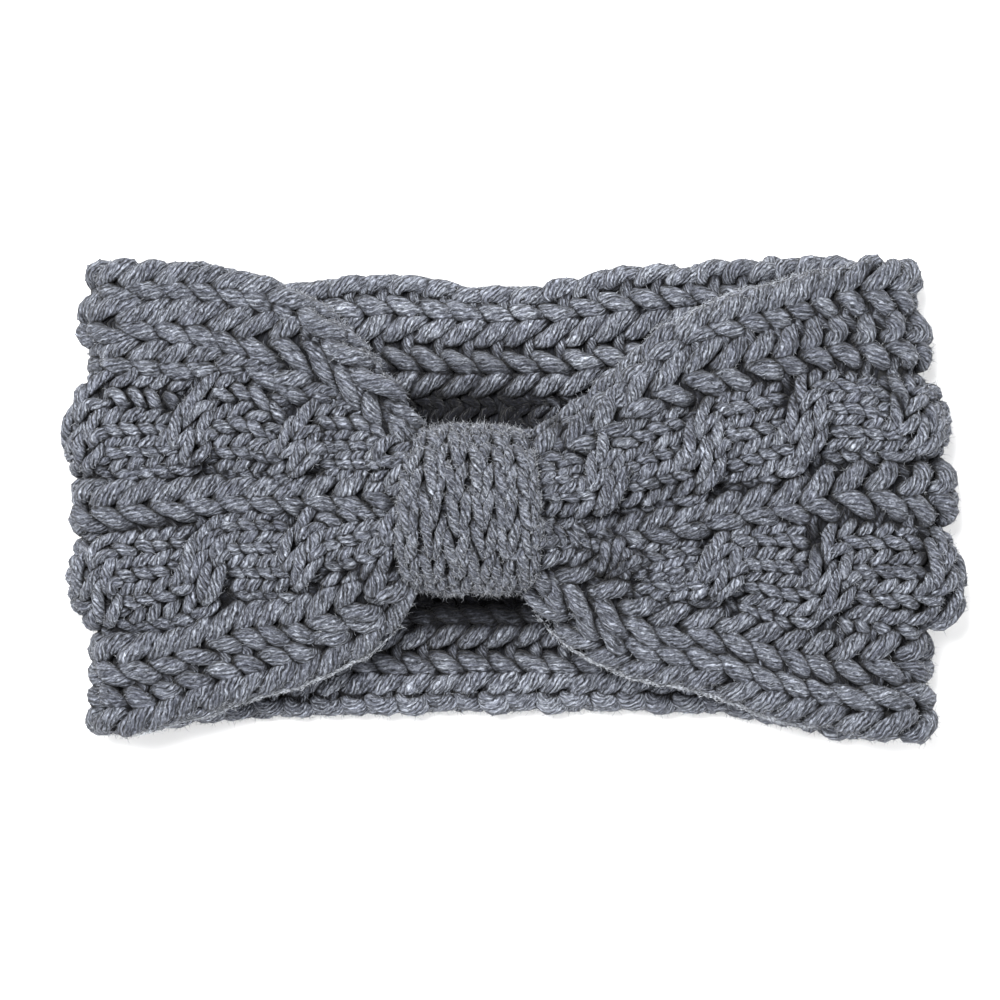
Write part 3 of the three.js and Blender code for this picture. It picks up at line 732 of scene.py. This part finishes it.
def ground_ring():
    """The closed inner layer of the knit, hidden behind the loops."""
    step_s, step_t = 8, 8
    ti = np.arange(14, len(T_AXIS) - 13, step_t)
    si = np.arange(0, len(S_AXIS), step_s)[:-1]
    out = POINT[np.ix_(si, ti)] + 0.9 * NORMAL[np.ix_(si, ti)]
    inn = POINT[np.ix_(si, ti)] - 0.9 * NORMAL[np.ix_(si, ti)]
    ring = np.concatenate([out, inn[:, ::-1]], axis=1)
    rows, n = ring.shape[:2]
    i, k = np.meshgrid(np.arange(rows), np.arange(n), indexing="ij")
    a, b = i * n + k, i * n + (k + 1) % n
    c, d = ((i + 1) % rows) * n + (k + 1) % n, ((i + 1) % rows) * n + k
    quads = np.stack([a, b, c, d], -1).reshape(-1, 4)
    data = np.stack([(quads % n) / 10.0, (quads // n) * 3.0, quads * 0.0], -1)
    # its low fixed openness darkens it all over as painted shade
    return {"verts": ring.reshape(-1, 3), "quads": quads, "data": data.reshape(-1, 3),
            "caps": np.zeros((0, 4), int), "open": np.full(rows * n, 0.2), "lay": np.zeros(rows * n), "lift": np.zeros(rows * n)}


def wrap_ring():
    """The same for the wrap."""
    phi = 2 * np.pi * np.arange(40) / 40
    c = np.linspace(-0.95, 0.95, 11)
    rise = np.concatenate([np.full(11, 1.3), np.full(11, 0.3)])
    cc = np.concatenate([c, c[::-1]])
    ring = on_wrap(np.broadcast_to(cc, (40, 22)), np.broadcast_to(phi[:, None], (40, 22)), np.broadcast_to(rise, (40, 22)))
    i, k = np.meshgrid(np.arange(40), np.arange(22), indexing="ij")
    a, b = i * 22 + k, i * 22 + (k + 1) % 22
    c2, d = ((i + 1) % 40) * 22 + (k + 1) % 22, ((i + 1) % 40) * 22 + k
    quads = np.stack([a, d, c2, b], -1).reshape(-1, 4)
    data = np.stack([(quads % 22) / 10.0, (quads // 22) * 2.4, quads * 0.0], -1)
    # its low fixed openness darkens it all over as painted shade
    return {"verts": ring.reshape(-1, 3), "quads": quads, "data": data.reshape(-1, 3),
            "caps": np.zeros((0, 4), int), "open": np.full(880, 0.25), "lay": np.zeros(880), "lift": np.zeros(880)}


ground_part, wrap_part = ground_ring(), wrap_ring()
set_openness([ground_part, wrap_part])
pieces = [make_mesh(name, sets) for name, sets in plan.items()]
wrap_piece = pieces.pop()


ground = make_mesh("knit_ground", [ground_part])
wrap_ground = make_mesh("wrap_ground", [wrap_part])


def fuzz_mesh(name, skins, short, bent, seed, edges, thick=1.0):
    """Loose fibres that stand off the yarn: thin closed needles, the long
    ones with a bend."""
    rng = np.random.default_rng(seed)
    verts = np.concatenate([k["verts"] for k in skins])
    way = np.concatenate([k["way"] for k in skins])
    along = np.concatenate([k["along"] for k in skins])
    out = np.concatenate([k["open"] for k in skins])
    rim = smoothstep(0.60, 0.15, np.abs(way[:, 2]))
    weight = np.maximum(out - 0.35, 0.0) ** 2 * (0.30 + edges * rim) + 0.001
    weight /= weight.sum()
    all_points, all_tris, at = [], [], 0
    for count, bends in ((short, False), (bent, True)):
        pick = rng.choice(len(verts), count, p=weight)
        side = np.where(rng.random(count) < 0.5, -1.0, 1.0)[:, None]
        direction = way[pick] * rng.uniform(0.25, 1.0, (count, 1)) + side * along[pick] * rng.uniform(0.4, 1.0, (count, 1))
        direction += rng.normal(0, 0.40, (count, 3))
        direction /= np.linalg.norm(direction, axis=-1, keepdims=True)
        bend = rng.normal(0, 1, (count, 3))
        bend -= direction * (bend * direction).sum(-1, keepdims=True)
        bend /= np.linalg.norm(bend, axis=-1, keepdims=True)
        other = np.cross(direction, bend)
        base = verts[pick] - 0.15 * way[pick]
        if bends:
            long = np.clip(rng.lognormal(0.45, 0.35, (count, 1)), 0.8, 3.2)
            mid = base + direction * long * 0.55 + bend * long * 0.10
            tip = base + direction * long * 0.85 + bend * long * rng.uniform(0.3, 0.7, (count, 1))
            centres = ((base, 0.045 * thick), (mid, 0.035 * thick))
            tris = np.array([(2, 1, 0), (0, 1, 4), (0, 4, 3), (1, 2, 5), (1, 5, 4), (2, 0, 3), (2, 3, 5),
                             (3, 4, 6), (4, 5, 6), (5, 3, 6)])
        else:
            long = np.clip(rng.lognormal(-0.10, 0.30, (count, 1)), 0.45, 1.5)
            tip = base + direction * long
            centres = ((base, 0.060 * thick),)
            tris = np.array([(2, 1, 0), (0, 1, 3), (1, 2, 3), (2, 0, 3)])
        rings = [centre + size * (math.cos(a) * bend + math.sin(a) * other)
                 for centre, size in centres for a in (0.0, 2 * math.pi / 3, 4 * math.pi / 3)]
        points = np.stack(rings + [tip], axis=1)
        per = points.shape[1]
        all_tris.append((np.arange(count)[:, None, None] * per + tris[None]).reshape(-1, 3) + at)
        all_points.append(points.reshape(-1, 3))
        at += count * per
    points = (np.concatenate(all_points) + OFFSET) * MM
    tris = np.concatenate(all_tris)
    points[:, 2] = np.maximum(points[:, 2], 0.00005)
    mesh = bpy.data.meshes.new(name)
    mesh.vertices.add(len(points))
    mesh.vertices.foreach_set("co", points.astype(np.float32).ravel())
    mesh.loops.add(tris.size)
    mesh.loops.foreach_set("vertex_index", tris.astype(np.int32).ravel())
    mesh.polygons.add(len(tris))
    mesh.polygons.foreach_set("loop_start", (np.arange(len(tris)) * 3).astype(np.int32))
    mesh.update(calc_edges=True)
    mesh.validate()
    obj = bpy.data.objects.new(name, mesh)
    bpy.context.scene.collection.objects.link(obj)
    print("piece", name, len(tris), "triangles")
    return obj


def rim_skins():
    """Feet of the fibres that lie along the front layer's edges, as a thin
    line; their lighter grey is a painted highlight."""
    rng = np.random.default_rng(8)
    found = []
    for name, side, first, last, share in (("rib_yarn_top", 1, 32.0, 82.0, 0.35), ("rib_yarn_bottom", -1, -100.0, -26.0, 1.0),
                                           ("rib_yarn_bottom", -1, 4.0, 82.0, 1.0)):
        verts = np.concatenate([part["verts"] for part in plan[name]])
        x, y, z = verts[verts[:, 2] > 13.0].T
        line = []
        for a in np.arange(first, last, 0.8):
            near = np.flatnonzero(np.abs(x - a) < 1.8)
            far = near[np.argmax(side * y[near])]
            line.append((a, y[far], z[far]))
        line = np.array(line)
        for k in (1, 2):
            padded = np.pad(line[:, k], 4, mode="edge")
            line[:, k] = np.convolve(padded, np.ones(9) / 9, mode="valid")
        tangent = np.gradient(line, axis=0)
        tangent /= np.linalg.norm(tangent, axis=-1, keepdims=True)
        u = rng.random(int(share * 30 * len(line))) * (len(line) - 1)
        u = u[rng.random(len(u)) < smoothstep(0, 14, u) * smoothstep(len(line) - 1, len(line) - 15, u)]
        feet = np.stack([np.interp(u, np.arange(len(line)), line[:, k]) for k in range(3)], -1)
        run = np.stack([np.interp(u, np.arange(len(line)), tangent[:, k]) for k in range(3)], -1)
        feet += rng.normal(0, 1, feet.shape) * np.array([0.3, 0.24, 0.24]) + np.array([0.0, 0.02 * side, 0.15])
        found.append({"verts": feet, "way": np.tile([0.0, 0.20 * side, 0.20], (len(u), 1)), "along": 2.8 * run,
                      "open": np.ones(len(u))})
    return found


band_fuzz = fuzz_mesh("band_fuzz", YARNS[:-1], 16500, 7500, 5, 5.0)
rim_fuzz = fuzz_mesh("rim_fuzz", rim_skins(), 600, 2000, 7, 0.0, 1.2)
wrap_fuzz = fuzz_mesh("wrap_fuzz", YARNS[-1:], 3200, 2300, 6, 0.5)


# ----------------------------------------------------------------- materials
def node_tools(mat):
    mat.use_nodes = True
    nt = mat.node_tree
    nt.nodes.clear()
    add, link = nt.nodes.new, nt.links.new

    def calc(op, a=None, b=None):
        node = add("ShaderNodeMath")
        node.operation = op
        for socket, value in ((0, a), (1, b)):
            if value is None:
                continue
            if isinstance(value, (int, float)):
                node.inputs[socket].default_value = value
            else:
                link(value, node.inputs[socket])
        return node.outputs[0]

    def noise(x, y, z, detail, rough=0.6):
        comb = add("ShaderNodeCombineXYZ")
        for k, value in enumerate((x, y, z)):
            link(value, comb.inputs[k])
        tex = add("ShaderNodeTexNoise")
        tex.inputs["Scale"].default_value = 1.0
        tex.inputs["Detail"].default_value = detail
        tex.inputs["Roughness"].default_value = rough
        link(comb.outputs[0], tex.inputs["Vector"])
        return tex.outputs["Fac"]

    def mix(kind, fac, a, b):
        node = add("ShaderNodeMix")
        node.data_type = "RGBA"
        node.blend_type = kind
        if isinstance(fac, (int, float)):
            node.inputs[0].default_value = fac
        else:
            link(fac, node.inputs[0])
        for socket, value in ((6, a), (7, b)):
            if isinstance(value, tuple):
                node.inputs[socket].default_value = (*value, 1)
            else:
                link(value, node.inputs[socket])
        return node.outputs[2]

    def spread(value, low, high):
        node = add("ShaderNodeMapRange")
        link(value, node.inputs["Value"])
        node.inputs["From Min"].default_value = low
        node.inputs["From Max"].default_value = high
        return node.outputs[0]

    return add, link, calc, noise, mix, spread


def yarn_material(name, color, plies, pitch, open_at, shut_at, groove):
    """Plied, heathered yarn: plies wind round the tube, with fine fibres."""
    mat = bpy.data.materials.new(name)
    add, link, calc, noise, mix, spread = node_tools(mat)
    out = add("ShaderNodeOutputMaterial")
    bsdf = add("ShaderNodeBsdfPrincipled")
    link(bsdf.outputs[0], out.inputs[0])
    attr = add("ShaderNodeAttribute")
    attr.attribute_name = "yarn"
    sep = add("ShaderNodeSeparateXYZ")
    link(attr.outputs["Vector"], sep.inputs[0])
    turn, along, number = sep.outputs
    stands = add("ShaderNodeAttribute")
    stands.attribute_name = "open"
    stands = stands.outputs["Fac"]

    lay = add("ShaderNodeAttribute")
    lay.attribute_name = "lay"
    lay = spread(lay.outputs["Fac"], -0.35, 0.65)

    seed = calc("MULTIPLY", number, 7.3)
    wind = calc("ADD", calc("MULTIPLY", turn, float(plies)), calc("MULTIPLY", along, plies / pitch))
    drift = noise(calc("MULTIPLY", along, 0.16), calc("MULTIPLY", turn, 0.0), seed, 1.0)
    fray = noise(calc("MULTIPLY", wind, 0.7), calc("MULTIPLY", along, 0.6), calc("ADD", seed, 5.5), 2.0, 0.7)
    wind = calc("ADD", wind, calc("ADD", calc("MULTIPLY", drift, 1.6), calc("MULTIPLY", fray, 1.5)))
    ridge = calc("ABSOLUTE", calc("SINE", calc("MULTIPLY", wind, math.pi)))
    # here and there a ply is bound so close that its groove goes
    bound = noise(calc("MULTIPLY", wind, 0.6), calc("MULTIPLY", along, 0.45), calc("ADD", seed, 2.2), 1.0)
    bound = spread(bound, 0.46, 0.72)
    ridge = calc("MAXIMUM", ridge, calc("MAXIMUM", bound, calc("MULTIPLY", lay, 0.45)))
    # fine fibres, drawn out along the ply
    fibre = noise(calc("MULTIPLY", wind, 2.3), calc("MULTIPLY", along, 0.55), seed, 4.0, 0.80)
    # ply to ply and inch to inch, the grey goes lighter and darker
    heather = noise(calc("MULTIPLY", wind, 1.0), calc("MULTIPLY", along, 0.34), calc("ADD", seed, 3.7), 1.0)
    slow = noise(calc("MULTIPLY", along, 0.05), calc("MULTIPLY", turn, 0.7), calc("ADD", seed, 9.1), 1.0)

    # short fibre ends catch the light as a fine grain
    grain = noise(calc("MULTIPLY", along, 1.5), calc("MULTIPLY", wind, 3.2), calc("ADD", seed, 1.4), 2.0, 0.7)

    dark = tuple(c * 0.12 for c in color)
    light = tuple(min(1.0, c * 2.7) for c in color)
    base = mix("MIX", spread(fibre, 0.36, 0.66), dark, light)
    base = mix("MULTIPLY", spread(grain, 0.62, 0.36), base, (0.36, 0.36, 0.39))
    base = mix("MIX", calc("MULTIPLY", spread(grain, 0.54, 0.74), 0.45), base, tuple(min(1.0, c * 3.4) for c in color))
    base = mix("MULTIPLY", spread(heather, 0.66, 0.36), base, (0.62, 0.62, 0.65))
    base = mix("MULTIPLY", spread(slow, 0.62, 0.40), base, (0.80, 0.80, 0.82))
    # painted shade in the grooves between the plies
    base = mix("MULTIPLY", calc("SUBTRACT", 1.0, ridge), base, (groove, groove, groove * 1.06))
    # painted shade: the colour is darkened where the openness is low, in the hollows between the loops, more on legs
    # that lean down to the right than on those that lean up
    crease = spread(stands, open_at, shut_at)
    soft = spread(stands, open_at - 0.24, shut_at)
    shade = add("ShaderNodeMix")
    link(lay, shade.inputs[0])
    link(soft, shade.inputs[2])
    link(crease, shade.inputs[3])
    base = mix("MULTIPLY", shade.outputs[0], base, (0.04, 0.04, 0.05))
    # painted light and highlight: the colour is lightened towards 2.5 times itself where the lift attribute is set
    lift = add("ShaderNodeAttribute")
    lift.attribute_name = "lift"
    base = mix("MIX", calc("MULTIPLY", lift.outputs["Fac"], 0.5), base, mix("MULTIPLY", 1.0, base, (2.50, 2.48, 2.42)))
    link(base, bsdf.inputs["Base Color"])
    bsdf.inputs["Roughness"].default_value = 0.85
    bsdf.inputs["Specular IOR Level"].default_value = 0.15
    bsdf.inputs["Sheen Weight"].default_value = 0.06
    bsdf.inputs["Sheen Roughness"].default_value = 0.45
    height = calc("ADD", ridge, calc("MULTIPLY", fibre, 1.1))
    bump = add("ShaderNodeBump")
    bump.inputs["Strength"].default_value = 1.0
    bump.inputs["Distance"].default_value = 0.00050
    link(height, bump.inputs["Height"])
    link(bump.outputs[0], bsdf.inputs["Normal"])
    return mat


def plain_fibre(name, color):
    mat = bpy.data.materials.new(name)
    add, link, calc, noise, mix, spread = node_tools(mat)
    out = add("ShaderNodeOutputMaterial")
    bsdf = add("ShaderNodeBsdfPrincipled")
    link(bsdf.outputs[0], out.inputs[0])
    coord = add("ShaderNodeTexCoord")
    tex = add("ShaderNodeTexNoise")
    tex.inputs["Scale"].default_value = 1400.0
    tex.inputs["Detail"].default_value = 2.0
    link(coord.outputs["Object"], tex.inputs["Vector"])
    base = mix("MIX", spread(tex.outputs["Fac"], 0.38, 0.62), tuple(c * 0.30 for c in color),
               tuple(min(1, c * 1.9) for c in color))
    link(base, bsdf.inputs["Base Color"])
    bsdf.inputs["Roughness"].default_value = 0.8
    bsdf.inputs["Sheen Weight"].default_value = 0.3
    return mat


GREY = (0.174, 0.187, 0.2125)
rib_mat = yarn_material("rib_yarn", GREY, 11, 17.5, 0.88, 0.33, 0.06)
cable_mat = yarn_material("cable_yarn", tuple(c * 1.07 for c in GREY), 7, 11.5, 0.90, 0.35, 0.10)
wrap_mat = yarn_material("wrap_yarn", tuple(c * 0.92 for c in GREY), 6, 9.5, 0.91, 0.31, 0.10)
# painted shade: the inner layers are the same yarn, given a darker grey and a low fixed openness as shade behind the
# loops
ground_mat = yarn_material("ground_yarn_painted_shade", (0.10, 0.107, 0.122), 8, 9.5, 0.74, 0.16, 0.26)
fuzz_mat = plain_fibre("loose_fibre", (0.225, 0.237, 0.262))
for obj in pieces:
    obj.data.materials.append(rib_mat if obj.name.startswith("rib") else cable_mat)
wrap_piece.data.materials.append(wrap_mat)
ground.data.materials.append(ground_mat)
wrap_ground.data.materials.append(ground_mat)
for obj in (band_fuzz, wrap_fuzz):
    obj.data.materials.append(fuzz_mat)
# painted highlight: the edge fibres get a lighter grey than the other loose fibres
rim_fuzz.data.materials.append(plain_fibre("rim_fibre_painted_highlight", (0.285, 0.303, 0.338)))

# ------------------------------------------------------------------ rides etc
for obj in pieces + [ground, band_fuzz, rim_fuzz]:
    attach(obj, "root")
    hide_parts("knit_band")
for obj in (wrap_piece, wrap_ground, wrap_fuzz):
    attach(obj, "root")
    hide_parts("center_wrap")

# --------------------------------------------------------- floor, light, view
floor_mesh = bpy.data.meshes.new("floor")
F = 3.0
floor_mesh.from_pydata([(-F, -F, 0), (F, -F, 0), (F, F, 0), (-F, F, 0)], [], [(0, 1, 2, 3)])
floor = bpy.data.objects.new("floor", floor_mesh)
floor.location.z = -0.0006
bpy.context.scene.collection.objects.link(floor)
fm = bpy.data.materials.new("floor")
fm.use_nodes = True
fb = fm.node_tree.nodes["Principled BSDF"]
fb.inputs["Base Color"].default_value = (0.96, 0.96, 0.96, 1)
fb.inputs["Roughness"].default_value = 0.9
floor_mesh.materials.append(fm)

world = bpy.data.worlds.new("studio")
bpy.context.scene.world = world
world.use_nodes = True
world.node_tree.nodes["Background"].inputs[0].default_value = (1, 1, 1, 1)
world.node_tree.nodes["Background"].inputs[1].default_value = 0.86


def area(name, place, aim, size, power):
    light = bpy.data.lights.new(name, "AREA")
    light.shape = "DISK"
    light.size = size
    light.energy = power
    obj = bpy.data.objects.new(name, light)
    obj.location = place
    d = np.array(aim, float) - np.array(place, float)
    from mathutils import Vector
    obj.rotation_euler = Vector(d).to_track_quat("-Z", "Y").to_euler()
    bpy.context.scene.collection.objects.link(obj)


area("key", (-0.28, 0.38, 1.2), (0, 0, 0.02), 0.6, 34)
area("fill", (0.8, -0.5, 0.9), (0, 0, 0.02), 0.9, 7.5)
bpy.context.scene.view_settings.view_transform = "Standard"

# The photograph's frame: 253.6 mm across 1000 points at the fabric's height.
cam = bpy.data.cameras.new("camera")
camera = bpy.data.objects.new("camera", cam)
DIST = 1.5
cam.sensor_width = 36
cam.lens = 36 * DIST / 0.2536
camera.location = (-0.0030, -0.0007, 0.022 + DIST)
camera.rotation_euler = (0, 0, 0)
bpy.context.scene.collection.objects.link(camera)
bpy.context.scene.camera = camera
